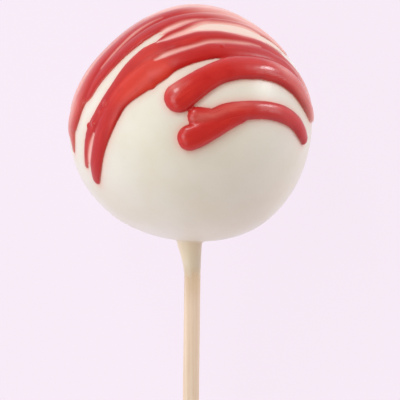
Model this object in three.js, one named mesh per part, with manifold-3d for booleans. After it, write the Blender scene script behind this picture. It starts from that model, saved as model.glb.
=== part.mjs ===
// A cake pop laid on its side: a ball of cake in a shell of white candy coating, drizzled with red
// candy and set on a thin round wooden stick. It can't stand up unheld, so it lies with its shown
// side up, on a small flat spot of the ball and the far end of the stick.
//
// Millimetres. The pieces are modelled in the pop's own frame: the origin at the ball's centre,
// +Y along the stick to the ball's crown, +Z out of the shown side. One group then lays the pop
// down, with +Z up and the origin at the centre of the flat spot that it rests on.

import * as THREE from 'three';
import { mergeVertices } from 'three/addons/utils/BufferGeometryUtils.js';
import Module from 'manifold-3d';

const wasm = await Module();
wasm.setup();

// ---- Driving dimensions, in millimetres ----

const BALL_RADIUS = 22; // of the coated ball, between its lumps
const BALL_DETAIL = 11; // how often each edge of the icosahedron is cut

const STICK_DIAMETER = 3;
const STICK_LENGTH = 150;
const STICK_IN_BALL = 25; // how far it is pushed into the cake
const STICK_OFF_CENTRE = 0.4; // its axis passes this far to the right of the ball's centre
const STICK_CHAMFER = 0.25;
const STICK_SIDES = 32;
const CLEARANCE = 0.3; // between the stick and the socket that it sits in

const COLLAR_LENGTH = 3.2; // coating that ran down the stick's left side before it set
const COLLAR_TOP_RADIUS = 2.45;
const COLLAR_TIP_RADIUS = 1.8;
const COLLAR_OFFSET = -0.55; // from the stick's axis, to the left
const COLLAR_ROOT = 2; // how deep its top end is sunk in the ball
const COLLAR_SIDES = 28;

const REST_SPOT_ACROSS = 9;

const STRAND_STEP = 1.7; // along a strand of drizzle
const STRAND_SIDES = 10;
const STRAND_SINK = 0.25; // the widest line of a strand lies this far inside the coating
const END_CROWDING = 0.6; // 0 spaces a strand's rings evenly, 1 draws them to its round ends

// The ball isn't round. Seen from the shown side, its outline swells and sinks in gentle waves,
// each as high as said and with a crest towards the given angle, anticlockwise from the right.
const LUMPS = [
  { waves: 2, height: 0.36, towards: 9 },
  { waves: 3, height: 0.37, towards: -42 },
  { waves: 4, height: 0.18, towards: 12 },
  { waves: 5, height: 0.17, towards: 20 },
];

// The red drizzle, one entry for each pass over the ball. A route is the line down the middle of
// the strand, in rows of sweep, roll and width. Sweep is degrees to the right of the ball's middle
// plane, and roll is degrees up from the shown side: 90 is the crown and 180 the back. Widths are
// millimetres, and a strand is its width times rise high.
const DRIZZLE = {
  // The lowest pass turns back on itself in the middle of the shown side.
  low_pass: {
    rise: 0.33,
    route: [[-1.1, 3, 2.8], [5.5, 2.9, 3.4], [10, 2.4, 3.7], [16, 4.9, 3.8], [34, 8.4, 3.2],
      [48, 7.6, 3.1], [57, 3.2, 2.9], [64, -6, 2.5], [69, -21, 1.6]],
  },
  low_pass_return: {
    rise: 0.33,
    route: [[-5.6, -7.8, 4.1], [0, -5.9, 4.4], [5.5, -3.6, 4.5], [11, -0.9, 4.1], [18, 2.2, 3.3],
      [27, 5.5, 2.4]],
  },
  // The thickest pass ends in a round pool.
  pooled_pass: {
    rise: 0.32,
    route: [[-10.8, 8.6, 5.2], [-4, 13.4, 5.3], [4, 19.7, 4.9], [11, 24.6, 4.4], [18, 28.4, 4.3],
      [28, 32, 4.3], [42, 36, 4.3], [55, 36.5, 4.1], [67, 31.5, 3.6], [77, 26, 2.8], [84.5, 29, 1.2]],
  },
  broad_pass_lower: {
    rise: 0.24,
    route: [[-50, -50, 1.6], [-50.5, -34, 2.6], [-44, -2, 3.5], [-36.5, 14, 4], [-26.5, 21.8, 4.8],
      [-17, 27, 3.8], [-1, 33.9, 2.9], [13, 36.8, 2.7], [26, 40.5, 2.6], [40, 46.5, 3],
      [54, 46, 3.2], [67, 40, 2.8], [77, 31, 1.4]],
  },
  broad_pass_thread: {
    rise: 0.3,
    route: [[3, 38.9, 0.9], [11, 41.6, 1.4], [18, 43.5, 1.5], [34, 49, 1.7], [48, 51.5, 2],
      [60, 49, 2]],
  },
  broad_pass_upper: {
    rise: 0.2,
    route: [[-58, -46, 1.2], [-58, -24, 1.9], [-54.4, -6, 2.7], [-46.8, 7.5, 3.6],
      [-38.4, 20.3, 3.8], [-27.5, 32.4, 4.1], [-18, 38.3, 3.2], [-6, 42.3, 2.4], [10.5, 47.3, 2.1],
      [25, 51.6, 2.2], [39, 54.5, 2.6], [50, 55, 3.2], [62, 52, 3.8], [72, 46, 3.2], [81, 38, 1.4]],
  },
  thin_pass: {
    rise: 0.3,
    route: [[-20, 43, 0.9], [-13, 47.8, 1], [-4, 53.4, 1.1], [3, 57, 1.4], [15, 61, 1.8],
      [28, 67, 2], [38, 72, 1.5], [47, 75, 0.8]],
  },
  crown_pass_lower: {
    rise: 0.17,
    route: [[-58, 18, 0.9], [-53.5, 31.5, 2.1], [-44, 41.6, 3], [-31, 49.8, 3.2], [-17, 56.6, 3.2],
      [-5, 61, 3], [8, 65, 2.8], [22, 70, 2.8], [34, 76, 2.2], [44, 79, 1.2]],
  },
  crown_pass_upper: {
    rise: 0.18,
    route: [[-70.5, -52, 1.4], [-74, -36, 3], [-76.5, -12, 4.5], [-73, 12, 4.6], [-65, 36, 4.2],
      [-52, 54, 4.1], [-38, 61, 4], [-22, 65.5, 4], [-5, 70, 4], [12, 74, 3.8], [28, 77, 3],
      [42, 78, 2.2], [52, 75, 1.2]],
  },
  crown_pass_rim: {
    rise: 0.1,
    route: [[-83, 66, 1.6], [-75, 74, 3.8], [-62, 77, 4.2], [-46, 78, 4.2], [-28, 80, 4.2],
      [-8, 82, 4.2], [12, 85, 4], [30, 87, 3.2], [47, 90, 1.6]],
  },
  // Passes over the back, which carry on the same way of drizzling.
  back_pass_first: {
    rise: 0.13,
    route: [[-73, 136, 1.2], [-63, 111, 2.8], [-38, 97, 3.6], [-10, 94, 3.4], [20, 97, 3.2],
      [48, 104, 3], [65, 122, 1.4]],
  },
  back_pass_second: {
    rise: 0.2,
    route: [[-62, 150, 1.2], [-51, 123, 2.8], [-28, 108, 3.4], [0, 105, 3], [28, 109, 3],
      [51, 123, 2.6], [61, 143, 1.2]],
  },
  back_pass_thin: {
    rise: 0.3,
    route: [[-44, 137, 1], [-30, 122, 1.8], [-6, 116, 1.6], [22, 120, 2], [43, 135, 2.6],
      [50, 153, 1.3]],
  },
  back_pass_pooled: {
    rise: 0.3,
    route: [[-45, 160, 1.4], [-34, 142, 2.8], [-16, 131, 3.3], [4, 128, 4], [21, 132, 4.8]],
  },
  back_pass_last: {
    rise: 0.3,
    route: [[46, 167, 1.3], [37, 153, 2.8], [22, 145, 3], [2, 144, 3.4], [-13, 148, 4.2]],
  },
};

const COATING = new THREE.MeshStandardMaterial({ color: 0xe6ddcf, roughness: 0.38, metalness: 0 });
const WOOD = new THREE.MeshStandardMaterial({ color: 0xdcc5a9, roughness: 0.75, metalness: 0 });

const radians = THREE.MathUtils.degToRad;

// ---- Solids: a closed geometry becomes one that can be joined and cut, and comes back ----

function solidFrom(geometry) {
  const bare = geometry.clone();
  bare.deleteAttribute('normal');
  bare.deleteAttribute('uv');
  const closed = mergeVertices(bare);
  return new wasm.Manifold(new wasm.Mesh({
    numProp: 3,
    vertProperties: Float32Array.from(closed.attributes.position.array),
    triVerts: Uint32Array.from(closed.index.array),
  }));
}

function geometryFrom(solid) {
  const { vertProperties, triVerts } = solid.getMesh();
  const geometry = new THREE.BufferGeometry();
  geometry.setAttribute('position', new THREE.BufferAttribute(vertProperties, 3));
  geometry.setIndex(new THREE.BufferAttribute(triVerts, 1));
  geometry.computeVertexNormals();
  return geometry;
}

function reshape(geometry, moved) {
  const position = geometry.attributes.position;
  const vertex = new THREE.Vector3();
  for (let i = 0; i < position.count; i += 1) {
    moved(vertex.fromBufferAttribute(position, i));
    position.setXYZ(i, vertex.x, vertex.y, vertex.z);
  }
  return geometry;
}

// ---- The coated ball ----

function ballRadius(direction) {
  const fromFront = Math.hypot(direction.x, direction.y);
  const around = Math.atan2(direction.y, direction.x);
  let radius = BALL_RADIUS;
  for (const { waves, height, towards } of LUMPS) {
    radius += height * fromFront ** waves * Math.cos(waves * (around - radians(towards)));
  }
  return radius;
}

function makeBall() {
  const geometry = new THREE.IcosahedronGeometry(1, BALL_DETAIL);
  return reshape(geometry, (vertex) => vertex.multiplyScalar(ballRadius(vertex)));
}

// ---- One strand of drizzle: a sphere drawn out along its route, flattened onto the ball ----

function onBall(sweep, roll) {
  const across = Math.cos(radians(sweep));
  const direction = new THREE.Vector3(
    Math.sin(radians(sweep)),
    across * Math.sin(radians(roll)),
    across * Math.cos(radians(roll)),
  );
  return direction.multiplyScalar(ballRadius(direction));
}

function widthAlong(route, t) {
  const place = t * (route.length - 1);
  const before = Math.min(Math.floor(place), route.length - 2);
  return THREE.MathUtils.lerp(route[before][2], route[before + 1][2], place - before);
}

function makeStrand({ rise, route }) {
  const middle = new THREE.CatmullRomCurve3(route.map(([sweep, roll]) => onBall(sweep, roll)));
  const length = middle.getLength();
  const steps = Math.round(length / STRAND_STEP);
  const geometry = new THREE.SphereGeometry(1, STRAND_SIDES, steps);

  return reshape(geometry, (vertex) => {
    const fromStart = Math.acos(THREE.MathUtils.clamp(vertex.y, -1, 1)) / Math.PI;
    const crowded = fromStart - END_CROWDING * Math.sin(2 * Math.PI * fromStart) / (2 * Math.PI);
    const t = middle.getUtoTmapping(crowded);
    const width = widthAlong(route, t);

    // The strand keeps its width up to half a width from its end, and closes in a half circle.
    const toEnd = Math.min(crowded, 1 - crowded) * length / (width / 2);
    const fullness = Math.sqrt(1 - (1 - Math.min(toEnd, 1)) ** 2);

    const outward = middle.getPoint(t).normalize();
    const sideways = new THREE.Vector3().crossVectors(outward, middle.getTangent(t)).normalize();
    const turn = Math.atan2(vertex.z, vertex.x);
    const aside = Math.cos(turn) * fullness * width / 2;
    const height = (width * rise + STRAND_SINK) * Math.sin(turn) * fullness - STRAND_SINK;

    vertex.copy(outward).addScaledVector(sideways, aside / BALL_RADIUS).normalize();
    vertex.multiplyScalar(ballRadius(vertex) + height);
  });
}

// ---- The collar of coating on the stick, the stick and its socket ----

const STICK_RADIUS = STICK_DIAMETER / 2;
const STICK_TIP = STICK_IN_BALL - BALL_RADIUS; // the buried end, above the ball's centre
const STICK_FAR_END = STICK_TIP - STICK_LENGTH;

function makeCollar() {
  const height = COLLAR_ROOT + COLLAR_LENGTH;
  const collar = new THREE.CylinderGeometry(COLLAR_TOP_RADIUS, COLLAR_TIP_RADIUS, height, COLLAR_SIDES);
  const middle = -BALL_RADIUS + COLLAR_ROOT - height / 2;
  return collar.translate(STICK_OFF_CENTRE + COLLAR_OFFSET, middle, 0);
}

function makeSocket() {
  const radius = STICK_RADIUS + CLEARANCE;
  const top = STICK_TIP + CLEARANCE;
  const bottom = -BALL_RADIUS - 2 * COLLAR_LENGTH;
  const socket = new THREE.CylinderGeometry(radius, radius, top - bottom, STICK_SIDES);
  return socket.translate(STICK_OFF_CENTRE, (top + bottom) / 2, 0);
}

function makeStick() {
  const inner = STICK_RADIUS - STICK_CHAMFER;
  const profile = [
    [0, STICK_FAR_END],
    [inner, STICK_FAR_END],
    [STICK_RADIUS, STICK_FAR_END + STICK_CHAMFER],
    [STICK_RADIUS, STICK_TIP - STICK_CHAMFER],
    [inner, STICK_TIP],
    [0, STICK_TIP],
  ].map(([x, y]) => new THREE.Vector2(x, y));
  return new THREE.LatheGeometry(profile, STICK_SIDES).translate(STICK_OFF_CENTRE, 0, 0);
}

// ---- How the pop lies: the ball's flat spot and the rim of the stick's far end touch down ----

const REST_HEIGHT = Math.sqrt(BALL_RADIUS ** 2 - (REST_SPOT_ACROSS / 2) ** 2);
const RIM_ALONG = -STICK_FAR_END - STICK_CHAMFER;
const RIM_DISTANCE = Math.hypot(RIM_ALONG, STICK_RADIUS);
const TILT = Math.asin(REST_HEIGHT / RIM_DISTANCE) - Math.atan2(STICK_RADIUS, RIM_ALONG);

const cakePop = new THREE.Group();
cakePop.rotation.x = TILT;
cakePop.position.z = REST_HEIGHT;
cakePop.updateMatrix();

function makeGround() {
  const size = 4 * BALL_RADIUS;
  const ground = new THREE.BoxGeometry(size, size, size).translate(0, 0, -size / 2);
  return ground.applyMatrix4(cakePop.matrix.clone().invert());
}

// ---- The two pieces ----

let ballSolid = solidFrom(makeBall()).add(solidFrom(makeCollar()));
for (const strand of Object.values(DRIZZLE)) {
  ballSolid = ballSolid.add(solidFrom(makeStrand(strand)));
}
ballSolid = ballSolid.subtract(solidFrom(makeSocket())).subtract(solidFrom(makeGround()));

const ball = new THREE.Mesh(geometryFrom(ballSolid), COATING);
ball.name = 'ball';

const stick = new THREE.Mesh(makeStick(), WOOD);
stick.name = 'stick';

cakePop.add(ball, stick);

export default cakePop;
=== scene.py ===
# %% [markdown]
# # A cake pop with red drizzle
#
# A cake pop is a ball of cake crumb and frosting on a stick. The ball is dipped in melted white
# candy, tapped, and left to set; then a second, red candy is thrown over it in quick passes.
# This notebook dresses the plain solids of such a pop: it gives the coating, the drizzle and the
# stick their fine shapes and their finishes. The solids come first, because every piece has to
# lie where they are.

# %% The fixed frame
import math

import bpy
import numpy as np
from mathutils import Matrix, Vector
from mathutils.kdtree import KDTree


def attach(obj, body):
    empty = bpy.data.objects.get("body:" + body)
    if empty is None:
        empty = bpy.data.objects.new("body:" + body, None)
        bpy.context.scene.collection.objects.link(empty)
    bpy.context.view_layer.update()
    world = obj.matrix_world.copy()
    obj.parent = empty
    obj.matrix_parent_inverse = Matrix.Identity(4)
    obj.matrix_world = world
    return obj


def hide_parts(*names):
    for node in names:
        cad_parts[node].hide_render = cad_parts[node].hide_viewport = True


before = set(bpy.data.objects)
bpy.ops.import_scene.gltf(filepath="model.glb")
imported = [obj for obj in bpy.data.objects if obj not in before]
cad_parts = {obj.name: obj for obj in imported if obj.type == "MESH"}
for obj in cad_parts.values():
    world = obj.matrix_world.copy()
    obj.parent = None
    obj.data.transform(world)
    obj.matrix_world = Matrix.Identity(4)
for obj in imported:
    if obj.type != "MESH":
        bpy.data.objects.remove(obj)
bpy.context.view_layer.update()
print("solids:", {name: len(node.data.polygons) for name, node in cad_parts.items()})

# %% [markdown]
# ## The pop's own frame
#
# The pop lies on its side, a little nose up, on a flat spot of the ball and on the far end of the
# stick. Modelling a ball in a tilted frame is awkward, so each piece is made in millimetres in
# the pop's own frame: the origin at the ball's centre, +Y along the stick to the crown, and +Z
# out of the side that shows. One matrix then lays the finished mesh down, in metres.

# %% Sizes, and the matrix that lays the pop down
BALL_RADIUS = 22.0
STICK_RADIUS = 1.5
STICK_LENGTH = 150.0
STICK_TIP = 3.0  # the buried end, above the ball's centre
STICK_OFF_CENTRE = 0.4  # the stick's axis passes this far to the right
STICK_AXIS = np.array([STICK_OFF_CENTRE, 0, 0])
STICK_CHAMFER = 0.25
REST_SPOT_ACROSS = 9.0

stick_far_end = STICK_TIP - STICK_LENGTH
rest_height = math.sqrt(BALL_RADIUS ** 2 - (REST_SPOT_ACROSS / 2) ** 2)
rim_along = -stick_far_end - STICK_CHAMFER
rim_distance = math.hypot(rim_along, STICK_RADIUS)
tilt = math.asin(rest_height / rim_distance) - math.atan2(STICK_RADIUS, rim_along)

MM = 0.001
laid_down = (Matrix.Scale(MM, 4) @ Matrix.Translation((0, 0, rest_height))
             @ Matrix.Rotation(tilt, 4, "X"))
print(f"ball centre {rest_height:.2f} mm above the floor, tilted {math.degrees(tilt):.2f} degrees")

# %% [markdown]
# ## A workbench for node trees
#
# Materials and Geometry Nodes are both trees of nodes, and building them one call at a time is
# long-winded. Two small classes make it short. A Signal wraps one output socket and overloads
# Python's operators, so that `1 - mask * 0.5` adds the Math nodes it needs. A Bench adds any
# other node from its type, its settings and what feeds its sockets.

# %% Signal and Bench
def operator(operation, swapped=False):
    """A method that adds a Math node with that operation."""
    def method(self, other):
        return self.bench.math(operation, *((other, self) if swapped else (self, other)))
    return method


class Signal:
    """An output socket that Python's operators work on."""

    __add__ = __radd__ = operator("ADD")
    __mul__ = __rmul__ = operator("MULTIPLY")
    __sub__, __rsub__ = operator("SUBTRACT"), operator("SUBTRACT", swapped=True)
    __truediv__, __pow__ = operator("DIVIDE"), operator("POWER")

    def __init__(self, bench, socket):
        self.bench, self.socket = bench, socket

    def __getitem__(self, name):
        """Another output of the same node."""
        return Signal(self.bench, find_socket(self.socket.node.outputs, name))


def find_socket(sockets, key):
    """A socket by its number, or by its identifier or name."""
    if isinstance(key, int):
        return sockets[key]
    return next(s for s in sockets if key in (s.identifier, s.name))


class Bench:
    """Adds nodes to one tree."""

    def __init__(self, tree):
        self.tree = tree

    def node(self, kind, feeds=None, take=0, **settings):
        made = self.tree.nodes.new(kind)
        for name, value in settings.items():
            setattr(made, name, value)
        for key, value in (feeds or {}).items():
            socket = find_socket(made.inputs, key)
            if isinstance(value, Signal):
                self.tree.links.new(value.socket, socket)
            else:
                socket.default_value = value
        return Signal(self, find_socket(made.outputs, take)) if made.outputs else None

    def math(self, operation, *values):
        return self.node("ShaderNodeMath", dict(enumerate(values)), operation=operation)

    def vector_math(self, operation, *values, take="Vector"):
        feeds = dict(enumerate(values))
        return self.node("ShaderNodeVectorMath", feeds, take, operation=operation)

    def scaled(self, vector, factor):
        feeds = {"Vector": vector, "Scale": factor}
        return self.node("ShaderNodeVectorMath", feeds, operation="SCALE")

    def length(self, vector):
        return self.vector_math("LENGTH", vector, take="Value")

    def dot(self, one, other):
        return self.vector_math("DOT_PRODUCT", one, other, take="Value")

    def part(self, vector, axis):
        """The vector's "X", "Y" or "Z"."""
        return self.node("ShaderNodeSeparateXYZ", {"Vector": vector}, axis)

    def mix(self, factor, one, other):
        feeds = {"Factor_Float": factor, "A_Color": one, "B_Color": other}
        return self.node("ShaderNodeMix", feeds, "Result_Color", data_type="RGBA")

    def noise(self, vector, scale, detail=2.0, roughness=0.5, stretch=(1, 1, 1), seed=None):
        feeds = {"Vector": self.vector_math("MULTIPLY", vector, stretch), "Scale": scale,
                 "Detail": detail, "Roughness": roughness}
        if seed is None:
            return self.node("ShaderNodeTexNoise", feeds)
        return self.node("ShaderNodeTexNoise", {**feeds, "W": seed}, noise_dimensions="4D")

    def between(self, value, low, high, to_low=0.0, to_high=1.0):
        """value taken smoothly from low..high to to_low..to_high."""
        feeds = {"Value": value, "From Min": low, "From Max": high,
                 "To Min": to_low, "To Max": to_high}
        return self.node("ShaderNodeMapRange", feeds, "Result", interpolation_type="SMOOTHSTEP")


def grow_mesh(piece):
    """Turns what the piece's modifiers make into its plain mesh, and removes them."""
    depsgraph = bpy.context.evaluated_depsgraph_get()
    grown = bpy.data.meshes.new_from_object(piece.evaluated_get(depsgraph), depsgraph=depsgraph)
    piece.modifiers.clear()
    piece.data = grown
    return grown


def triangles(piece):
    return sum(len(polygon.vertices) - 2 for polygon in piece.data.polygons)


print("workbench ready")

# %% [markdown]
# ## Trees that grow shapes
#
# A Geometry Nodes tree is a recipe with named ingredients. The sizes go in as inputs, so that
# the same tree could grow another stick or another drizzle. A modifier knows its inputs by
# identifier and not by name, so one helper looks the identifiers up and sets all the values
# before the shape is first worked out.

# %% A tree with named inputs
def spaced(name):
    return name.replace("_", " ")


def new_tree(name, **inputs):
    """The bench of a tree with those inputs, what it is given, and each point's position."""
    tree = bpy.data.node_groups.new(name, "GeometryNodeTree")
    for label, kind in {"Geometry": "Geometry", **inputs}.items():
        tree.interface.new_socket(spaced(label), in_out="INPUT", socket_type="NodeSocket" + kind)
    tree.interface.new_socket("Geometry", in_out="OUTPUT", socket_type="NodeSocketGeometry")
    bench = Bench(tree)
    return bench, bench.node("NodeGroupInput"), bench.node("GeometryNodeInputPosition")


def end_tree(bench, geometry, position, finish):
    """Moves the points, realizes the geometry and gives it its finish."""
    geometry = bench.node("GeometryNodeSetPosition", {"Geometry": geometry, "Position": position})
    geometry = bench.node("GeometryNodeRealizeInstances", {"Geometry": geometry})
    geometry = bench.node("GeometryNodeSetMaterial", {"Geometry": geometry, "Material": finish})
    bench.node("NodeGroupOutput", {"Geometry": geometry})
    return bench.tree


def add_tree(piece, tree, **values):
    modifier = piece.modifiers.new(tree.name, "NODES")
    modifier.node_group = tree
    sockets = {s.name: s for s in tree.interface.items_tree if s.in_out == "INPUT"}
    for label, value in values.items():
        modifier[sockets[spaced(label)].identifier] = value


def store(mesh, **fields):
    """Puts values, one for each point, on the mesh under their names."""
    for name, values in fields.items():
        kind, field = ("FLOAT", "value") if values.ndim == 1 else ("FLOAT_VECTOR", "vector")
        attribute = mesh.attributes.new(name, kind, "POINT")
        attribute.data.foreach_set(field, values.astype(np.float32).ravel())


def new_object(name, data):
    made = bpy.data.objects.new(name, data)
    bpy.context.scene.collection.objects.link(made)
    return made


def new_piece(name, points, faces=(), edges=()):
    mesh = bpy.data.meshes.new(name)
    mesh.from_pydata(points, edges, faces)
    return new_object(name, mesh)


print("tree helpers ready")

# %% [markdown]
# ## The white coating
#
# A dipped ball is never round: the cake inside is rolled by hand, and the candy slumps while it
# sets. Four slow waves around the outline give its lumps, the same as in the solid. At the stick
# the candy runs down one side and ends in a thin, ragged film. A sculpted sphere would need many
# strokes here, so instead the skin is worked out: rays go out from the middle of the ball, and
# each one stops where a ball and a collar, melted into each other, end.

# %% How the coating's surface lies
LUMPS = [(2, 0.36, 9), (3, 0.37, -42), (4, 0.18, 12), (5, 0.17, 20)]  # waves, height, towards

FILM_LENGTH = 5.7  # how far the candy has run down the stick
COLLAR_THICKNESS = 1.2  # on the stick's left side, at the ball
FILM_THICKNESS = 0.16  # all round the stick, at the ball
FILLET = 0.7  # how softly the collar and the ball melt together


def ball_radius(direction):
    """The coated ball's radius in each unit direction, without the collar."""
    across = np.hypot(direction[..., 0], direction[..., 1])
    around = np.arctan2(direction[..., 1], direction[..., 0])
    radius = np.full(across.shape, BALL_RADIUS)
    for waves, height, towards in LUMPS:
        radius += height * across ** waves * np.cos(waves * (around - math.radians(towards)))
    return radius


def slump(direction):
    """Slow, shallow unevenness that the soft candy sets with."""
    x, y, z = direction[..., 0], direction[..., 1], direction[..., 2]
    return (0.035 * np.sin(5.1 * x + 2.3 * y + 1.1) * np.sin(4.3 * z - 1.7 * y + 0.4)
            + 0.018 * np.sin(9.7 * y - 3.1 * x + 2.0) * np.sin(8.3 * x + 4.9 * z)
            + 0.008 * np.sin(17.0 * z + 6.1 * x) * np.sin(15.0 * y - 7.7 * z + 0.9))


def collar_radius(below, around):
    """How far the candy on the stick reaches from its axis, that far below the ball."""
    leftward = 0.5 - 0.5 * np.cos(around)
    ragged = (0.4 * np.sin(2 * around + 0.6) + 0.2 * np.sin(3 * around + 2)
              + 0.06 * np.sin(7 * around))
    left_to_run = np.clip(1 - below / (FILM_LENGTH + ragged), -0.2, 1)
    thickness = COLLAR_THICKNESS * leftward ** 1.6 + FILM_THICKNESS
    return STICK_RADIUS + thickness * np.sign(left_to_run) * np.abs(left_to_run) ** 1.6


def outside_coating(points):
    """Above 0 outside the coating, below 0 inside it."""
    length = np.linalg.norm(points, axis=-1)
    direction = points / length[..., None]
    from_ball = length - ball_radius(direction) - slump(direction)
    aside = points - STICK_AXIS
    around = np.arctan2(aside[..., 2], aside[..., 0])
    from_axis = np.hypot(aside[..., 0], aside[..., 2])
    from_collar = from_axis - collar_radius(-aside[..., 1] - BALL_RADIUS, around)
    from_collar = np.maximum(from_collar, aside[..., 1] + BALL_RADIUS / 2)
    overlap = np.clip(0.5 + 0.5 * (from_collar - from_ball) / FILLET, 0, 1)
    return from_collar * (1 - overlap) + from_ball * overlap - FILLET * overlap * (1 - overlap)


print("radius towards the crown:", round(float(ball_radius(np.array([0.0, 1.0, 0.0]))), 2), "mm")

# %% [markdown]
# The rays are sorted in rings around the stick, like the lines of latitude on a globe. The rings
# are close together on the collar, where the shape turns within a millimetre, and wider apart on
# the ball. Towards the crown the rings have fewer and fewer points, so that the faces don't
# become slivers, and the last ring closes in one point. At the other end the skin turns inwards
# and lines the hole that the stick sits in.

# %% Build the skin, ring by ring
SEGMENTS = 352
SNUG = 0.02  # how far the hole reaches into the stick, so that no gap shows
HOLE_RADIUS = STICK_RADIUS - SNUG
HOLE_END = STICK_TIP - 0.05
BEYOND_FILM = 0.9  # the skin starts this far past the film's mean end
RINGS_ON_FILM, RINGS_AT_FILLET, RINGS_ON_BALL = 26, 26, 205
CROWN_RINGS = [  # degrees from the stick, and how many times fewer points
    (170, 2), (172, 2), (174, 4), (175.5, 4), (177, 8), (178.2, 16), (179.2, 32)]
HALVINGS = 40  # steps of the search for the skin along each ray


def circle(radius, along, count):
    """Points all round the Y axis."""
    around = np.arange(count) * 2 * math.pi / count
    return np.stack([radius * np.cos(around), np.full(count, along), radius * np.sin(around)], -1)


def ring_points(from_stick, count):
    """A ring of points on the coating, that many degrees away from the stick."""
    lean = math.radians(from_stick)
    rays = circle(math.sin(lean), -math.cos(lean), count)
    near, far = np.full(count, 0.5 * BALL_RADIUS), np.full(count, 1.6 * BALL_RADIUS)
    for _ in range(HALVINGS):
        middle = (near + far) / 2
        inside = outside_coating(STICK_AXIS + rays * middle[:, None]) < 0
        near, far = np.where(inside, middle, near), np.where(inside, far, middle)
    return STICK_AXIS + rays * near[:, None]


def join_rings(rings):
    """Faces between rings, each with as many points as the last or half as many."""
    faces, start = [], 0
    for ring, following in zip(rings, rings[1:]):
        count, after = len(ring), start + len(ring)
        if len(following) == count:
            faces += [(start + i, start + (i + 1) % count, after + (i + 1) % count, after + i)
                      for i in range(count)]
        else:
            half = len(following)
            for i in range(half):
                a, b, c = (start + (2 * i + k) % count for k in range(3))
                low, high = after + i, after + (i + 1) % half
                faces += [(a, b, low), (b, high, low), (b, c, high)]
        start = after
    return faces


film_steps = np.linspace(FILM_LENGTH + BEYOND_FILM, 0.0, RINGS_ON_FILM)
leans = [math.degrees(math.atan2(STICK_RADIUS + SNUG, BALL_RADIUS + step)) for step in film_steps]
leans += [leans[-1] + 0.14 * k + 0.0105 * k * k for k in range(1, RINGS_AT_FILLET + 1)]
leans += list(np.linspace(leans[-1] + 0.7, 168, RINGS_ON_BALL))
skin = [ring_points(lean, SEGMENTS) for lean in leans]
skin += [ring_points(lean, SEGMENTS // fewer) for lean, fewer in CROWN_RINGS]

hole_stops = (HOLE_END, -10.0, -20.0, skin[0][:, 1].min())
rings = [STICK_AXIS + circle(HOLE_RADIUS, along, SEGMENTS) for along in hole_stops] + skin
points = np.concatenate([*rings, ring_points(180, 1), [[STICK_OFF_CENTRE, HOLE_END, 0]]])
faces = join_rings(rings)
crown, floor_of_hole = len(points) - 2, len(points) - 1
last = len(skin[-1])
faces += [(crown - last + i, crown - last + (i + 1) % last, crown) for i in range(last)]
faces += [((i + 1) % SEGMENTS, i, floor_of_hole) for i in range(SEGMENTS)]

coating = new_piece("white_coating", points.tolist(), faces)
print("coating:", triangles(coating), "triangles")
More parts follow.
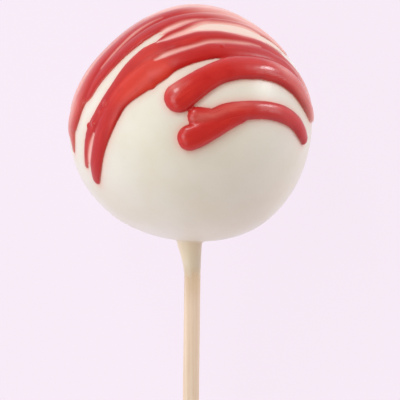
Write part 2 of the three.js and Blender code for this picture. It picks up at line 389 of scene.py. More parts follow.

# %% [markdown]
# ## The red drizzle
#
# The drizzle is thrown from a spoon or a bag that swings over the pop: each pass crosses the
# ball in a long arc, turns, and comes back beside the last. Where two passes touch they flow
# together, and a pass that stops ends in a round pool. Each pass is one route over the ball: the
# line down its middle, as sweep (degrees to the right), roll (degrees up from the shown side,
# 90 at the crown) and width in millimetres. The routes follow the passes of the solid. The
# number before each is the strand's height as a share of its width.
#
# Films of thin, pale candy join passes that lie close together. Here and there a bubble has
# stayed in, or a last drop has landed as a bead. Over the crown, at the sides and along some
# ridges a pale sheen and soft highlights are painted into the red.

# %% The routes of the passes
DRIZZLE = {
    "low_pass": (0.33, [
        (-2.2, 3.6, 3.5), (5.5, 3.0, 3.7), (10, 2.5, 3.8), (16, 4.9, 3.9), (34, 8.5, 3.4),
        (48, 7.6, 3.4), (57, 3.0, 3.1), (63.4, -6.4, 2.8), (68.6, -21.5, 2.0)]),
    "low_pass_return": (0.33, [
        (-6.6, -8.3, 4.7), (0, -6.3, 4.7), (5.5, -3.7, 4.6), (11, -0.9, 4.1), (18, 2.2, 3.3),
        (27, 5.5, 2.4)]),
    "pooled_pass": (0.33, [
        (-12, 8.2, 5.7), (-4.3, 13.4, 5.6), (4, 19.7, 4.9), (11, 24.6, 4.5), (18, 28.2, 4.5),
        (28, 31.8, 4.5), (42, 35.8, 4.4), (55, 36.2, 4.1), (66.5, 30.8, 3.4), (75.5, 25, 2.6),
        (82.5, 27.5, 1.2)]),
    "broad_pass_lower": (0.2, [
        (-50, -49.2, 1.7), (-50.3, -34, 2.9), (-44, -2, 3.8), (-36.1, 13.8, 4.2),
        (-26.5, 21.5, 5.1), (-20.5, 25.1, 5.4), (-15.5, 26.9, 4.7), (-10.6, 29.6, 3.9),
        (-5.9, 31.8, 3.7), (-1.2, 33.5, 3.5), (3.5, 35.3, 3.6), (8.2, 37.3, 3.8),
        (14, 38.6, 3.4), (26, 42.2, 3), (40, 47, 3.2), (54, 46, 3.2), (67, 40, 2.8),
        (77, 31, 1.4)]),
    "broad_pass_thread": (0.34, [
        (13.4, 40, 1.3), (18.2, 41.2, 1.3), (28.7, 44.3, 1.4), (38, 47.5, 1.6), (48, 50, 2),
        (60, 48, 2)]),
    "broad_pass_upper": (0.17, [
        (-57.5, -42, 1.1), (-57.4, -24, 1.7), (-54.2, -6, 2.6), (-46.8, 7.5, 3.6),
        (-38.4, 20.3, 3.8), (-29, 32, 4.3), (-21.5, 37.4, 4.5), (-15.7, 40.2, 3.8),
        (-10.8, 41.3, 3), (-6, 42.7, 2.9), (-1.3, 44, 3.2), (3.4, 45.7, 3.4), (8.1, 47.2, 3),
        (12.9, 48.7, 2.9), (24, 50.9, 2.6), (36, 54.2, 3), (50, 55, 3.2), (62, 52, 3.7),
        (72, 45.5, 3), (80, 38, 1.3)]),
    "thin_pass": (0.24, [
        (-18, 43.5, 0.9), (-13.3, 47.6, 1.2), (-10.9, 49.4, 1.3), (-6.1, 51.4, 1.5),
        (-1.4, 54, 1.8), (3.3, 56.5, 1.9), (8, 59.4, 1.8), (15, 61.6, 1.8), (28, 67, 2),
        (38, 72, 1.5), (47, 75, 0.8)]),
    "crown_pass_lower": (0.17, [
        (-62.5, 21, 1.2), (-57, 26.5, 2.4), (-52.5, 34.1, 3), (-44, 42, 3.1), (-31, 50.4, 3.3),
        (-17, 57, 3.3), (-5, 61.5, 3), (8, 65.5, 2.8), (22, 70.5, 2.8), (34, 76, 2.2),
        (44, 79, 1.2)]),
    "crown_pass_upper": (0.18, [
        (-71.2, -46, 1.0), (-72, -34, 1.7), (-73, -22, 2.7), (-74.2, -10, 3.9), (-73.2, 2, 4.6),
        (-70.5, 14, 5), (-65, 30, 5.4), (-57, 44, 4.9), (-50, 52.5, 4.7), (-37, 60, 4.5),
        (-22, 65, 4.2), (-5, 70, 4), (12, 74, 3.8), (28, 77, 3), (42, 78, 2.2), (52, 75, 1.2)]),
    "crown_pass_rim": (0.07, [
        (-83, 66, 1.6), (-75, 74, 3.8), (-62, 77, 4.2), (-46, 78, 4.2), (-28, 80, 4.2),
        (-8, 82, 4.2), (12, 85, 4), (30, 86, 3), (42, 86, 1.4)]),
    "back_pass_first": (0.13, [
        (-73, 136, 1.2), (-63, 111, 2.8), (-38, 97, 3.6), (-10, 94, 3.4), (20, 97, 3.2),
        (48, 104, 3), (65, 122, 1.4)]),
    "back_pass_second": (0.2, [
        (-62, 150, 1.2), (-51, 123, 2.8), (-28, 108, 3.4), (0, 105, 3), (28, 109, 3),
        (51, 123, 2.6), (61, 143, 1.2)]),
    "back_pass_thin": (0.3, [
        (-44, 137, 1), (-30, 122, 1.8), (-6, 116, 1.6), (22, 120, 2), (43, 135, 2.6),
        (50, 153, 1.3)]),
    "back_pass_pooled": (0.3, [
        (-45, 160, 1.4), (-34, 142, 2.8), (-16, 131, 3.3), (4, 128, 4), (21, 132, 4.8)]),
    "back_pass_last": (0.3, [
        (46, 167, 1.3), (37, 153, 2.8), (22, 145, 3), (2, 144, 3.4), (-13, 148, 4.2)]),
    "drip_lower_edge": (0.3, [(-20.5, 22, 3), (-18.9, 16.9, 2.2)]),
    "drip_shoulder": (0.28, [(-24.5, 36, 3), (-26.2, 40.4, 1.8)]),
    "drip_left_edge": (0.3, [(-54.5, -1.5, 2.6), (-57.2, -3.6, 1.3)]),
}
FILMS = {  # thin candy between passes and on the rim; a fourth number is its paleness
    "in_broad_pass": (0.07, [
        (-18, 32.6, 0.6, 0.5), (-13.1, 34.7, 1.2, 0.75), (-8.3, 36.1, 1.2, 0.65),
        (-2.7, 37.9, 1.1, 0.55), (3.4, 40.4, 1.1, 0.5), (9.1, 43, 1.1, 0.5),
        (15.4, 44.9, 1, 0.45), (21.4, 46.4, 1, 0.45), (27.2, 48.4, 0.9, 0.45),
        (34, 50.7, 0.5, 0.4)]),
    "under_thin_pass": (0.06, [
        (-17, 43.3, 0.5, 0.6), (-11.8, 45.3, 1.1, 0.7), (-8.4, 46.6, 1.3, 0.75),
        (-3.7, 48.6, 1.4, 0.85), (0, 50.6, 1.6, 1), (3.8, 52.4, 2, 1.2), (8, 54, 2.3, 1.4),
        (15, 56, 2.6, 1.5), (24, 59, 2.8, 1.5), (34, 62.5, 2.4, 1.5), (42, 65, 1.6, 1.5),
        (48, 66, 0.6, 1.5)]),
    "over_thin_pass": (0.07, [
        (-15.6, 50.2, 0.8, 1), (-12, 52.6, 1.2, 0.9), (-8.5, 54.3, 1.3, 0.8),
        (-4.3, 56.8, 1.2, 0.6), (0.4, 59, 0.8, 0.45), (5, 61, 0.3, 0.3)]),
    "at_left_end": (0.06, [
        (-50.9, -6.9, 0.5, 0.7), (-53, -15.8, 1, 0.8), (-54.3, -25.7, 1, 0.9),
        (-54.6, -36, 0.5, 1)]),
    "in_crown_pass": (0.05, [
        (-49, 43, 0.4, 0.4), (-42, 49.5, 0.6, 0.45), (-36, 54, 0.6, 0.5), (-29, 58.5, 0.8, 0.5),
        (-22, 61.5, 0.8, 0.4), (-14, 64, 0.5, 0.3)]),
    "crown_rim": (0.06, [
        (-40, 88, 1.5), (-28, 87, 3.8), (-14, 86, 5.8), (0, 85.5, 6.8), (14, 85.5, 7.2),
        (28, 87, 6.6), (40, 90, 4.6), (52, 94, 2.4)]),
}
PAINTED_SHEEN = [  # stretches of painted sheen and highlight on the red: sweep, roll, reach in mm, paleness
    [(-80, -30, 3.4, 0.8), (-82, -12, 4, 0.85), (-81, 16, 4, 0.8), (-74, 42, 4.2, 0.8),
     (-64, 62, 3.8, 0.65), (-50, 74, 3.4, 0.5), (-38, 80, 3.2, 0.5), (-26, 82, 3.4, 0.6),
     (-14, 83, 4, 0.8), (-7, 83, 4.4, 0.85), (0, 82, 4.6, 0.85), (7, 80, 5, 0.85),
     (14, 79, 5.2, 0.85), (21, 79, 5.2, 0.85), (28, 80, 5.2, 0.9), (35, 82, 4.8, 0.9),
     (42, 86, 4, 0.85), (50, 90, 3, 0.7)],
    [(36, 74, 1.4, 0.4), (44, 73.5, 2, 0.8), (52, 73, 2, 0.9)],
    [(50, 64, 2.5, 0.25), (58, 60, 3, 0.4), (68, 52, 3.2, 0.55), (76, 42, 3.4, 0.7),
     (82, 28, 3.6, 0.85)],
    [(37, 38.4, 1, 0.15), (42, 38.4, 1.2, 0.3), (46, 37.8, 1.4, 0.36), (53, 36, 1.6, 0.26),
     (60, 33.2, 1.8, 0.34), (66, 30, 2, 0.4), (72, 27, 2.3, 0.5), (80, 26, 2.8, 0.7)],
    [(0, 2.2, 0.8, 0.15), (4, 2.8, 1, 0.25), (11, 4.6, 1, 0.2), (17, 7.4, 1, 0.18),
     (24, 10, 1, 0.2), (31, 11, 1, 0.15)],
    [(-11, 13.5, 1, 0.1), (-7.8, 16, 1.2, 0.28), (-3, 19.5, 1.1, 0.1)],
]
BEADS = {  # rise, sweep, roll, width
    "bead_on_thread": (0.7, 13.7, 40.2, 1.2),
    "bubble_upper": (0.6, -43.4, 12.4, 1.6),
    "bubble_middle": (0.6, -46.4, 7.6, 1.3),
    "bubble_left": (0.55, -51.2, 0.2, 1.5),
}
print(len(DRIZZLE), "passes,", len(FILMS), "films and", len(BEADS), "beads")

# %% [markdown]
# A route has a dozen points, and the strand needs one every third of a millimetre. A centripetal
# Catmull-Rom curve goes through all of them without overshooting in tight turns. The half width
# and the height of the strand are worked out at each point too, and close in a half circle at
# both ends. They travel to the nodes as attributes on a mesh that is nothing but edges. A bead
# is a strand that is as long as it is wide.

# %% From routes to lines with a width and a height
ROUTE_STEP = 0.3
CURVE_SAMPLES = 60  # from one point of a route to the next
END_CROWDING = 0.2  # how much a strand's points crowd towards its round ends
LEAST_HEIGHT = 0.2  # thinner candy would tear when the strands melt together
LEAST_FULLNESS = 0.0004  # of a strand at its very end, squared


def on_ball(sweep, roll):
    sweep, roll = math.radians(sweep), math.radians(roll)
    direction = np.array([math.sin(sweep), math.cos(sweep) * math.sin(roll),
                          math.cos(sweep) * math.cos(roll)])
    return direction * ball_radius(direction)


def through(route, samples):
    """A smooth curve over the ball, and how far along the route each of its points is."""
    knots = np.array([on_ball(*spot[:2]) for spot in route])
    padded = np.vstack([2 * knots[0] - knots[1], knots, 2 * knots[-1] - knots[-2]])
    curve, places = [], []
    for i in range(len(knots) - 1):
        p0, p1, p2, p3 = padded[i:i + 4]
        d0, d1, d2 = (np.linalg.norm(b - a) ** 0.5 for a, b in ((p0, p1), (p1, p2), (p2, p3)))
        m1 = ((p1 - p0) / d0 - (p2 - p0) / (d0 + d1) + (p2 - p1) / d1) * d1
        m2 = ((p2 - p1) / d1 - (p3 - p1) / (d1 + d2) + (p3 - p2) / d2) * d1
        t = np.arange(samples)[:, None] / samples
        curve.append(p1 + m1 * t + (3 * (p2 - p1) - 2 * m1 - m2) * t ** 2
                     + (2 * (p1 - p2) + m1 + m2) * t ** 3)
        places.append(i + t[:, 0])
    return np.vstack([*curve, knots[-1:]]), np.concatenate([*places, [len(knots) - 1.0]])


def numbers_at(route, places):
    """The route's third and fourth numbers, at places along it."""
    return [np.interp(places, range(len(route)), [spot[k] for spot in route]) for k in (2, 3)]


def line_of(rise, route):
    """Points down a strand's middle, and its half width, height and paleness there."""
    spots = [(*spot, 0)[:4] for spot in route]
    curve, places = through(spots, CURVE_SAMPLES)
    along = np.concatenate([[0], np.cumsum(np.linalg.norm(np.diff(curve, axis=0), axis=1))])
    steps = np.linspace(0, along[-1], max(8, round(along[-1] / ROUTE_STEP)))
    ends = 0.5 - 0.5 * np.cos(math.pi * steps / along[-1])
    steps = (1 - END_CROWDING) * steps + END_CROWDING * ends * along[-1]
    middle = np.stack([np.interp(steps, along, curve[:, k]) for k in range(3)], -1)
    width, paleness = numbers_at(spots, np.interp(steps, along, places))
    to_end = np.minimum(steps, along[-1] - steps) / (width / 2)
    fullness = np.sqrt(np.clip(1 - (1 - np.minimum(to_end, 1)) ** 2, LEAST_FULLNESS, 1))
    height = np.maximum(width * rise, LEAST_HEIGHT)
    return middle, width / 2 * fullness, height * fullness, paleness


def bead_route(sweep, roll, width):
    reach = math.degrees(width / 2 / BALL_RADIUS)
    return [(sweep + shift, roll, width) for shift in (-reach, 0, reach)]


def joined(lines):
    """Each kind of value, from all the lines behind each other."""
    return [np.concatenate(parts) for parts in zip(*lines)]


lines = {name: line_of(rise, route) for name, (rise, route) in {**DRIZZLE, **FILMS}.items()}
lines |= {name: line_of(rise, bead_route(*spot)) for name, (rise, *spot) in BEADS.items()}
middles, half_widths, heights, paleness = joined(lines.values())
points_on_line = [len(line[0]) for line in lines.values()]
strand_number = np.repeat(np.arange(len(lines)), points_on_line)
edges = [(i, i + 1) for i in range(len(middles) - 1) if strand_number[i] == strand_number[i + 1]]


drizzle = new_piece("red_drizzle", middles.tolist(), edges=edges)
store(drizzle.data, half_width=half_widths, height=heights)
print("routes:", len(middles), "points on", len(lines), "lines")

# %% [markdown]
# The strands follow a path and lie on a surface, which is what Geometry Nodes are good at. A
# circle is swept along each line. Then every point of the tube is taken apart in two: how far it
# is to the side of the line, and how far it is above it. The side part says over which spot of
# the coating it hangs, and a ray dropped there finds the coating; the upper part says how high it
# stands on it. So the strands hug every lump, and a slow noise keeps their edges from being ruled.

# %% The tree that lays strands on the coating
EDGE_STEEPNESS = 0.8  # below 1, a strand is fuller at its edges than half an ellipse
WAVES = 0.22  # of unevenness, per millimetre


def drizzle_tree():
    bench, given, position = new_tree(
        "lay_drizzle", Coating="Object", Sides="Int", Sunk="Float", Unevenness="Float",
        Seed="Float", Finish="Material")

    def kept(geometry, name, value):
        feeds = {"Geometry": geometry, "Name": name, "Value": value}
        return bench.node("GeometryNodeStoreNamedAttribute", feeds,
                          data_type="FLOAT_VECTOR", domain="POINT")

    def named(name, kind="FLOAT_VECTOR"):
        return bench.node("GeometryNodeInputNamedAttribute", {"Name": name}, data_type=kind)

    curves = bench.node("GeometryNodeMeshToCurve", {"Mesh": given})
    curves = kept(curves, "middle", position)
    curves = kept(curves, "along", bench.node("GeometryNodeInputTangent"))
    section = bench.node("GeometryNodeCurvePrimitiveCircle",
                         {"Resolution": given["Sides"], "Radius": 1.0}, mode="RADIUS")
    tube = bench.node("GeometryNodeCurveToMesh",
                      {"Curve": curves, "Profile Curve": section, "Fill Caps": True})

    middle = named("middle")
    outward = bench.vector_math("NORMALIZE", middle)
    sideways = bench.vector_math("NORMALIZE", bench.vector_math(
        "CROSS_PRODUCT", named("along"), outward))
    offset = bench.vector_math("SUBTRACT", position, middle)

    def unevenness(shift):
        waves = bench.noise(position, WAVES, 1.0, seed=given["Seed"] + shift)
        return 1 + (waves - 0.5) * given["Unevenness"]

    aside = bench.dot(offset, sideways) * named("half_width", "FLOAT") * unevenness(0.0)
    above = bench.dot(offset, outward)
    hung = bench.vector_math("ADD", middle, bench.scaled(sideways, aside))
    over = bench.vector_math("NORMALIZE", hung)
    target = bench.node("GeometryNodeObjectInfo", {"Object": given["Coating"]}, "Geometry")
    landed = bench.node("GeometryNodeRaycast", {
        "Target Geometry": target, "Source Position": bench.scaled(over, 2 * BALL_RADIUS),
        "Ray Direction": bench.scaled(over, -1.0), "Ray Length": 2 * BALL_RADIUS}, "Hit Position")
    rounded = bench.math("MAXIMUM", above, 0.0) ** EDGE_STEEPNESS
    lift = rounded * named("height", "FLOAT") * unevenness(7.0)
    sink = bench.math("MINIMUM", above, 0.0) * given["Sunk"]
    placed = bench.vector_math("ADD", landed, bench.scaled(over, lift + sink))
    return end_tree(bench, tube, placed, given["Finish"])


red_candy = bpy.data.materials.new("red_candy")
add_tree(drizzle, drizzle_tree(), Coating=coating, Sides=28, Sunk=0.3, Unevenness=0.22, Seed=3.0,
         Finish=red_candy)
grow_mesh(drizzle)
print("separate strands:", triangles(drizzle), "triangles")

# %% [markdown]
# Poured candy has no seams: passes that touch are one body, and surface tension rounds the
# grooves between them. A voxel remesh joins the strands into one skin, and a few rounds of
# smoothing take its steps away. Plain smoothing would shrink the thin threads, so each round
# moves the points in and then a little further out again, which keeps their thickness. The fine
# voxels make more faces than the shape needs, so the flat stretches are thinned out.

# %% Melt the strands together
VOXEL = 0.2
SMOOTHING_ROUNDS = 14
TRIANGLES_KEPT = 190_000

melt = drizzle.modifiers.new("melt", "REMESH")
melt.mode = "VOXEL"
melt.voxel_size = VOXEL
skin_mesh = grow_mesh(drizzle)


def coordinates(mesh):
    values = np.empty(3 * len(mesh.vertices))
    mesh.vertices.foreach_get("co", values)
    return values.reshape(-1, 3)


def smooth(mesh, rounds, inward=0.55, outward=-0.58):
    values = coordinates(mesh)
    pairs = np.empty(2 * len(mesh.edges), int)
    mesh.edges.foreach_get("vertices", pairs)
    one, other = pairs.reshape(-1, 2).T
    neighbours = np.bincount(pairs, minlength=len(values))[:, None]
    for _ in range(rounds):
        for factor in (inward, outward):
            total = np.stack([
                np.bincount(one, values[other, k], len(values))
                + np.bincount(other, values[one, k], len(values)) for k in range(3)], -1)
            values = values + factor * (total / neighbours - values)
    mesh.vertices.foreach_set("co", values.ravel())


smooth(skin_mesh, SMOOTHING_ROUNDS)
print("one drizzle:", triangles(drizzle), "triangles")
thin_out = drizzle.modifiers.new("thin_out", "DECIMATE")
thin_out.ratio = TRIANGLES_KEPT / triangles(drizzle)
skin_mesh = grow_mesh(drizzle)
surface = coordinates(skin_mesh)
print("thinned out to", triangles(drizzle), "triangles")

# %% [markdown]
# The finish will need to know things that a plain mesh doesn't say, so they are stored on it:
#
# - thickness: how much candy there is, because thin candy lets the white through;
# - flow: how far along its strand and how far beside it a point is, for the faint streaks;
# - seam: how much farther the next strand is, because the streaks fade out where two meet;
# - pallor: how near it is to a pale film's middle, or to a stretch of painted sheen and highlight;
# - spread: how broad the broad passes are there, because broad candy is thinner and duller.
#
# The white needs to know how near the red is, because its colour bleeds over a little.

# %% What the finishes need to know
PALLOR_SPREAD = 0.55  # how far beside its middle a film is pale, as a share of its width
SHEEN_SAMPLES = 8  # from one point of a stretch of painted sheen to the next
WIDTH_COUNTS = 0.6  # how much a strand's width helps it to own the points beside it
BROAD_REACH = 1.9  # how far a broad pass's dullness reaches, in half widths
STREAK_SHIFT = 10.0  # makes each strand's streaks its own
BLEED = 0.6  # how far the red colours the white beside it
EDGE_HEIGHT = 0.3  # candy lower than this, over the coating, is at a strand's edge
PARTS = 24  # worked on one by one, to save memory


def unit(vectors):
    return vectors / np.linalg.norm(vectors, axis=1)[:, None]


def arcs_between(places, others):
    """How far it is over the ball from each place to each of the others, in mm."""
    return BALL_RADIUS * np.arccos(np.clip(unit(places) @ unit(others).T, -1, 1))


def sheen_of(route):
    """Points along a stretch of painted sheen and highlight, and their reach and paleness."""
    curve, places = through(route, SHEEN_SAMPLES)
    return curve, *numbers_at(route, places)


# the painted sheen and highlights on the red, as points with a reach and a paleness
sheen_points, reach, sheen_paleness = joined(map(sheen_of, PAINTED_SHEEN))
on_film = paleness > 0
broad = np.repeat([name.startswith("broad_pass_") for name in lines], points_on_line)
strand_starts = np.cumsum([0, *points_on_line[:-len(BEADS)]])  # beads don't turn the streaks
index, pallor, spread, seam = (np.empty(len(surface), kind) for kind in (int, float, float, float))
for part in np.array_split(np.arange(len(surface)), PARTS):
    arcs = arcs_between(surface[part], middles)
    to_strands = (arcs - WIDTH_COUNTS * half_widths)[:, :strand_starts[-1]]
    index[part] = to_strands.argmin(axis=1)
    to_each = np.minimum.reduceat(to_strands, strand_starts[:-1], axis=1)
    nearest, second = np.partition(to_each, 1)[:, :2].T
    seam[part] = second - nearest
    nearness = np.exp(-(arcs / (2 * PALLOR_SPREAD * half_widths + 0.01))[:, on_film] ** 2)
    beside = arcs[:, broad] / half_widths[broad]
    spread[part] = (half_widths[broad] * np.clip(BROAD_REACH - beside, 0, 1)).max(axis=1)
    # pallor: the pale films, and the painted sheen and highlights
    in_sheen = np.exp(-(arcs_between(surface[part], sheen_points) / reach) ** 2)
    pallor[part] = np.maximum((nearness * paleness[on_film]).max(axis=1),
                              (in_sheen * sheen_paleness).max(axis=1))

length = np.linalg.norm(surface, axis=1)
direction = surface / length[:, None]
thickness = length - ball_radius(direction) - slump(direction)
tangents = unit(np.gradient(middles, axis=0))
sides = np.cross(tangents, unit(middles))
travelled = np.concatenate([
    np.cumsum(np.r_[0, np.linalg.norm(np.diff(line[0], axis=0), axis=1)])
    for line in lines.values()])
offset = surface - middles[index]
flow = np.stack([travelled[index] + (offset * tangents[index]).sum(1),
                 (offset * sides[index]).sum(1), STREAK_SHIFT * strand_number[index]], -1)
store(skin_mesh, thickness=thickness, flow=flow, seam=seam, pallor=pallor, spread=spread)
print(f"candy stands up to {thickness.max():.2f} mm over the coating")

edge_points = surface[np.abs(thickness) < EDGE_HEIGHT]
edge_tree = KDTree(len(edge_points))
for number, point in enumerate(edge_points):
    edge_tree.insert(point, number)
edge_tree.balance()
from_strand = np.array([edge_tree.find(vertex.co)[2] for vertex in coating.data.vertices])
bleed = np.exp(-from_strand / BLEED)
store(coating.data, bleed=bleed)
print(f"{(bleed > 0.1).mean():.0%} of the coating has red near it")

# %% [markdown]
# ## The wooden stick
#
# The stick is a birch dowel: turned to size by pulling it through a die, which leaves fine
# grooves along the grain, and cut off with a slight bevel. Its shape follows a rule, so a tree
# grows it: a cylinder with many sides, whose radius falls at both ends and is nicked by a noise
# that is stretched a hundred times along the grain.

# %% The tree that turns a dowel
GROOVES, RIDGES = (3.2, 0.045), (0.9, 0.12)  # how many per millimetre, across and along


def dowel_tree():
    bench, given, position = new_tree(
        "turn_dowel", Radius="Float", Length="Float", Bevel="Float", Sides="Int", Steps="Int",
        Grain_Depth="Float", Seed="Float", Finish="Material")
    radius, bevel, depth = given["Radius"], given["Bevel"], given["Grain Depth"]
    blank = bench.node("GeometryNodeMeshCylinder", {
        "Vertices": given["Sides"], "Side Segments": given["Steps"], "Fill Segments": 5,
        "Radius": radius, "Depth": given["Length"]}, "Mesh", fill_type="TRIANGLE_FAN")
    to_end = given["Length"] * 0.5 - bench.math("ABSOLUTE", bench.part(position, "Z"))
    fullness = bench.math("MINIMUM", to_end / bevel, 1.0)
    axis_free = bench.vector_math("MULTIPLY", position, (1.0, 1.0, 0.0))
    on_rim = bench.between(bench.length(axis_free) / radius, 0.75, 1.0)

    def grain(across, along, shift):
        seed = given["Seed"] + shift
        return bench.noise(position, 1.0, stretch=(across, across, along), seed=seed) - 0.5

    relief = grain(*GROOVES, 0.0) * depth + grain(*RIDGES, 4.0) * depth * 0.8
    shrink = 1 - (1 - fullness) * bevel / radius * on_rim + relief / radius * on_rim
    bend = bench.node("ShaderNodeCombineXYZ", {
        "X": grain(0.0, 0.011, 9.0) * 0.35, "Y": grain(0.0, 0.013, 15.0) * 0.2, "Z": 0.0})
    still = bench.vector_math("MULTIPLY", position, (0.0, 0.0, 1.0))
    turned = bench.vector_math("ADD", bench.scaled(axis_free, shrink), still)
    return end_tree(bench, blank, bench.vector_math("ADD", turned, bend), given["Finish"])


birch = bpy.data.materials.new("birch")
stick = new_piece("wooden_stick", [(0, 0, 0)])
add_tree(stick, dowel_tree(), Radius=STICK_RADIUS, Length=STICK_LENGTH, Bevel=STICK_CHAMFER,
         Sides=72, Steps=420, Grain_Depth=0.09, Seed=2.0, Finish=birch)
grow_mesh(stick)
stick.data.transform(Matrix.Translation((STICK_OFF_CENTRE, STICK_TIP - STICK_LENGTH / 2, 0))
                     @ Matrix.Rotation(-math.pi / 2, 4, "X"))
print("stick:", triangles(stick), "triangles")

# %% [markdown]
# ## Laying the pieces down
#
# All three pieces are done in the pop's own frame. The matrix from the start takes them to the
# floor, in metres, and the objects stay at the origin. Candy that is still soft flattens where
# it touches the tray, so whatever would reach below the floor is pressed flat on it. All faces
# are shaded smooth.

# %% Lay down and press flat
PRESS_SOFTNESS = 0.03 * MM

for piece in (coating, drizzle, stick):
    mesh = piece.data
    mesh.transform(laid_down)
    values = coordinates(mesh)
    if piece is not stick:
        values[:, 2] = 0.5 * (values[:, 2] + np.sqrt(values[:, 2] ** 2 + PRESS_SOFTNESS ** 2))
        mesh.vertices.foreach_set("co", values.ravel())
    mesh.polygons.foreach_set("use_smooth", [True] * len(mesh.polygons))
    mesh.update()
    print(piece.name, "lies from", values.min(0).round(4), "to", values.max(0).round(4))

# %% [markdown]
# ## Finishes
#
# Every finish is worked out from the place on the pop, in millimetres in its own frame: a
# Mapping node undoes the laying down.

# %% The pop's own coordinates, for every finish
def new_finish(material):
    material.use_nodes = True
    material.node_tree.nodes.clear()
    return Bench(material.node_tree)


def pop_coordinates(bench):
    """Where a point is on the pop, in millimetres."""
    place = bench.node("ShaderNodeTexCoord", None, "Object")
    return bench.node("ShaderNodeMapping", {
        "Vector": place, "Location": (0, 0, rest_height * MM), "Rotation": (tilt, 0, 0),
        "Scale": (MM, MM, MM)}, vector_type="TEXTURE")


def stored(bench, name, take="Fac"):
    """What was stored on the mesh under that name."""
    return bench.node("ShaderNodeAttribute", None, take, attribute_name=name)


def painted(bench, ground, *coats):
    """Colours laid over each other. Each coat says how much there is of it."""
    tone = linear(*ground)
    for amount, coat in coats:
        tone = bench.mix(amount, tone, linear(*coat))
    return tone


def dress(piece, material, bench, relief, strength, depth, **sockets):
    """Ends the tree in a surface with that relief, depth in mm, and puts it on the piece."""
    bump = bench.node("ShaderNodeBump", {
        "Strength": strength, "Distance": depth * MM, "Height": relief})
    feeds = {spaced(name): value for name, value in sockets.items()}
    shader = bench.node("ShaderNodeBsdfPrincipled", {**feeds, "Normal": bump})
    bench.node("ShaderNodeOutputMaterial", {"Surface": shader})
    piece.data.materials.clear()
    piece.data.materials.append(material)
    print(f"{material.name}: {len(bench.tree.nodes)} nodes")


def linear(red, green, blue):
    """A picture's colour, 0 to 255, as the linear numbers that shaders work with."""
    return tuple((c / 12.92 if c <= 0.04045 else ((c + 0.055) / 1.055) ** 2.4)
                 for c in (red / 255, green / 255, blue / 255)) + (1.0,)


print("finishes start from the pop's own frame")

# %% [markdown]
# The white candy is a warm cream, satin, a little translucent, with faint clouds where the
# cocoa butter set at different speeds. On the stick it is a shade darker, and where its film
# runs out the wood shines through.

# %% White candy
COLLAR_FROM_AXIS = (4.4, 3.4)  # the collar's colour begins at the first and is full at the second
COLLAR_ALONG = (-20.7, -21.6)
FILM_THINS = (-25.2, -27.6)

white_candy = bpy.data.materials.new("white_candy")
bench = new_finish(white_candy)
place = pop_coordinates(bench)
clouds = bench.noise(place, 0.09, 3.0)
specks = bench.noise(place, 2.6, 3.0, 0.6)
down_the_stick = bench.part(place, "Y")
aside = bench.vector_math("SUBTRACT", place, (STICK_OFF_CENTRE, 0.0, 0.0))
from_axis = bench.length(bench.vector_math("MULTIPLY", aside, (1.0, 0.0, 1.0)))
on_collar = bench.between(from_axis, *COLLAR_FROM_AXIS)
thinned = bench.between(down_the_stick, *FILM_THINS) * bench.between(specks, 0.3, 0.6, 0.6, 1.0)
tone = painted(
    bench, (238, 233, 223),
    (bench.between(clouds, 0.35, 0.68), (234, 227, 212)),
    (bench.between(specks, 0.60, 0.78) * 0.35, (224, 208, 184)),
    (stored(bench, "bleed") * 0.55, (240, 160, 146)),
    (on_collar * bench.between(down_the_stick, *COLLAR_ALONG), (239, 222, 198)),
    (thinned, (236, 212, 182)))
gloss = 0.36 + (clouds - 0.5) * 0.12 + (specks - 0.5) * 0.06
dress(coating, white_candy, bench, bench.noise(place, 0.75, 3.0, 0.55), 0.25, 0.12,
      Base_Color=tone, Roughness=gloss, IOR=1.46, Subsurface_Weight=0.12,
      Subsurface_Radius=(1.0, 0.8, 0.55), Subsurface_Scale=0.0012, Sheen_Weight=0.35,
      Sheen_Roughness=0.3)

# %% [markdown]
# The red candy is glossier than the white and coloured through. It is a deep red, painted
# lighter on the tops of the thick passes, where they catch the light, so their flanks keep a
# painted shade. The broad passes have spread thin and are orange and duller.
# Films and very thin edges go from pink to nearly white, and so do the stretches of painted
# sheen and highlight. Streaks along the flow vary the colour and the gloss a little.

# %% Red candy
PAINTED_LIT_TOPS = (0.5, 1.15)  # millimetres of candy, where the painted lighter red of the lit tops begins and is full
BROAD = (1.9, 2.6)  # the broad passes' half width, where the orange begins and is full

bench = new_finish(red_candy)
place = pop_coordinates(bench)
deep, wide = stored(bench, "thickness"), stored(bench, "spread")
streaks = bench.noise(stored(bench, "flow", "Vector"), 1.0, 1.0, 0.5, (0.16, 0.9, 1.0))
streaks = 0.5 + (streaks - 0.5) * bench.between(stored(bench, "seam"), 0.0, 0.6)
pools = bench.noise(place, 0.35, 2.0)
# pale films, and painted sheen and highlights on the sides, the crown and some ridges
pale = stored(bench, "pallor") * (1 + (streaks - 0.5) * 0.8)
tone = painted(
    bench, (189, 9, 10),
    # painted highlight: the tops of the thick passes lighter red; the deep base on their flanks is
    # painted shade
    (bench.between(deep, *PAINTED_LIT_TOPS), (204, 38, 36)),
    (bench.between(wide, *BROAD), (215, 46, 24)),
    (bench.between(streaks, 0.45, 0.75) * 0.35, (225, 56, 40)),
    (bench.between(pools, 0.5, 0.75) * 0.35, (182, 12, 16)),
    (bench.between(deep, 0.3, 0.05) * 0.5, (240, 150, 138)),
    (bench.between(pale, 0.0, 0.8), (246, 180, 170)),
    (bench.between(pale, 0.8, 1.0), (246, 217, 204)))
gloss = bench.between(deep, 0.5, 1.3, 0.38, 0.26) + bench.between(wide, 1.7, 2.5) * 0.14
gloss = gloss + (streaks - 0.5) * 0.08
ripple = streaks * 0.1 + bench.noise(place, 0.9, 2.0) * 0.9
dress(drizzle, red_candy, bench, ripple, 0.22, 0.15, Base_Color=tone, Roughness=gloss, IOR=1.48,
      Subsurface_Weight=0.06, Subsurface_Radius=(1.0, 0.2, 0.15), Subsurface_Scale=0.0008,
      Sheen_Weight=0.4, Sheen_Roughness=0.3)

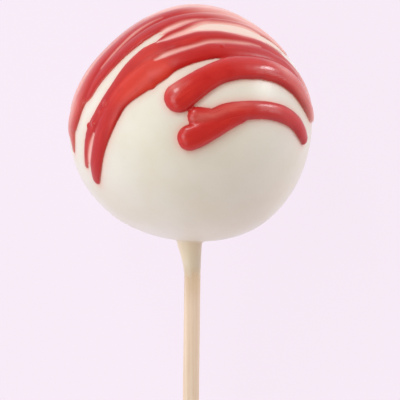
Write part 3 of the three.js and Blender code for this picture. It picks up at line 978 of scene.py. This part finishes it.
# %% [markdown]
# Birch is pale and close-grained. Its streaks run the whole length of the stick, with short
# darker pores between them. Butter from the cake has soaked into the first centimetres below the
# ball and made them a shade deeper. The cut end shows the fibres from their ends.

# %% Birch
SOAKED = (-34.0, -26.0)  # the butter has come as far as the first, and is full at the second

bench = new_finish(birch)
place = pop_coordinates(bench)
streaks = bench.noise(place, 1.0, 4.0, 0.6, (1.5, 0.03, 1.5))
pores = bench.noise(place, 1.0, 2.0, 0.6, (6.5, 0.32, 6.5))
blotches = bench.noise(place, 0.16, 2.0, 0.5, (2.0, 0.6, 2.0))
soaked = bench.between(bench.part(place, "Y"), *SOAKED)
soaked = soaked * bench.between(blotches, 0.3, 0.6, 0.4, 1.0)
tone = painted(
    bench, (245, 224, 204),
    (bench.between(streaks, 0.34, 0.66), (234, 207, 181)),
    (bench.between(blotches, 0.42, 0.72) * 0.5, (240, 213, 190)),
    (bench.between(pores, 0.60, 0.74) * 0.3, (214, 182, 150)),
    (soaked * 0.7, (226, 196, 160)))
dress(stick, birch, bench, streaks * 0.6 + pores * 0.4, 0.5, 0.1,
      Base_Color=tone, Roughness=0.62 + (streaks - 0.5) * 0.2, IOR=1.45)

# %% [markdown]
# ## Fixing the pieces to the frame
#
# The pop is one rigid body, so all three pieces ride on it. The coating and the drizzle together
# stand for the ball's solid, and the turned dowel stands for the stick's.

# %% Ride and replace
for piece, node, slot in ((coating, "ball", "white_coating"), (drizzle, "ball", "red_drizzle"),
                          (stick, "stick", "wood")):
    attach(piece, "root")
    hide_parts(node)
print("three pieces ride on the root body")

# %% [markdown]
# ## Floor, light and camera
#
# The pop is seen from above, on a pale, faintly lilac floor, which glows a little of itself so
# that it has hardly any shadow, like a sheet of paper in a light tent.

# %% Floor
floor = new_piece("floor", [(-3, -3, 0), (3, -3, 0), (3, 3, 0), (-3, 3, 0)], [(0, 1, 2, 3)])
paper = bpy.data.materials.new("pale_floor")
bench = new_finish(paper)
matt = bench.node("ShaderNodeBsdfDiffuse", {"Color": linear(246, 232, 246)})
glow = bench.node("ShaderNodeEmission", {"Color": linear(248, 236, 248), "Strength": 1.01})
both = bench.node("ShaderNodeMixShader", {0: 0.93, 1: matt, 2: glow})
bench.node("ShaderNodeOutputMaterial", {"Surface": both})
floor.data.materials.append(paper)
print("floor in place")

# %% [markdown]
# A bank of three large softboxes on the left models the ball, and a low strip on the right lifts
# its edge. A small lamp beyond the crown puts soft spots on the upper flanks of the drizzle, and
# another, low on the right, the bright spots on the thick passes there. The surround is brightest
# and coolest level with the pop, which lights the edges, and darker and warmer overhead.

# %% Light
HORIZON_GLOW, ZENITH_GLOW = 1.03, 0.37  # the surround, level with the pop and overhead
ZENITH_FROM = 0.6  # the sine of the elevation above which it is darkest

scene = bpy.context.scene
scene.view_settings.view_transform = "Standard"
world = bpy.data.worlds.new("surround")
scene.world = world
bench = new_finish(world)
height = bench.part(bench.node("ShaderNodeTexCoord", None, "Generated"), "Z")
darkening = bench.math("MINIMUM", height / ZENITH_FROM, 1.0)
tint = bench.mix(darkening, linear(240, 250, 255), linear(247, 216, 190))
surround = bench.node("ShaderNodeBackground", {
    "Color": tint, "Strength": HORIZON_GLOW + (ZENITH_GLOW - HORIZON_GLOW) * darkening})
bench.node("ShaderNodeOutputWorld", {"Surface": surround})

LIGHT_DISTANCE = 450.0
LAMP_TINT = (0.85, 0.97, 1.0)  # daylight, cooler than the ceiling
SOFTBOXES = {  # azimuth and elevation in degrees from the ball, size in millimetres, watts
    "left_bank_upper": (135, 48, (240, 200), 0.36),
    "left_bank_middle": (180, 46, (240, 200), 0.55),
    "left_bank_lower": (225, 44, (240, 200), 0.19),
    "right_strip": (18, 12, (280, 120), 0.33),
    "crown_lamp": (117, 36, (80, 80), 0.4),
    "right_lamp": (34, 3.6, (44, 80), 0.44),
}

for name, (azimuth, elevation, size, power) in SOFTBOXES.items():
    lamp = bpy.data.lights.new(name, "AREA")
    lamp.shape = "RECTANGLE"
    lamp.size, lamp.size_y = size[0] * MM, size[1] * MM
    lamp.energy, lamp.color = power, LAMP_TINT
    turn, rise = math.radians(azimuth), math.radians(elevation)
    level = math.cos(rise)
    towards = Vector((level * math.cos(turn), level * math.sin(turn), math.sin(rise)))
    start, ball = laid_down @ (LIGHT_DISTANCE * towards), laid_down @ Vector((0, 0, 0))
    light = new_object(name, lamp)
    light.location = start
    light.rotation_euler = (ball - start).to_track_quat("-Z", "Y").to_euler()
print(len(SOFTBOXES), "softboxes")

# %% [markdown]
# The camera is far away, so that the ball is seen almost without perspective. It looks down at
# right angles to the stick, at a place between the ball's centre and the stick.

# %% Camera
VIEW_AT = (1.642, -13.593)  # where the camera looks, from the ball's centre
CAMERA_DISTANCE = 600.0
FRAME_WIDTH = 74.07  # of the picture, in the ball's middle plane
LEAN = math.atan(1.3 / 110)  # the picture is turned this much against the stick

lens = bpy.data.cameras.new("camera")
lens.sensor_width = 36.0
lens.lens = 36.0 * CAMERA_DISTANCE / FRAME_WIDTH
lens.clip_start = 0.01
camera = new_object("camera", lens)
above_pop = Matrix.Translation((*VIEW_AT, CAMERA_DISTANCE)) @ Matrix.Rotation(LEAN, 4, "Z")
seen_from = laid_down @ above_pop
camera.location = seen_from.to_translation()
camera.rotation_euler = seen_from.to_quaternion().to_euler()
scene.camera = camera
print("camera at", [round(value, 3) for value in camera.location])
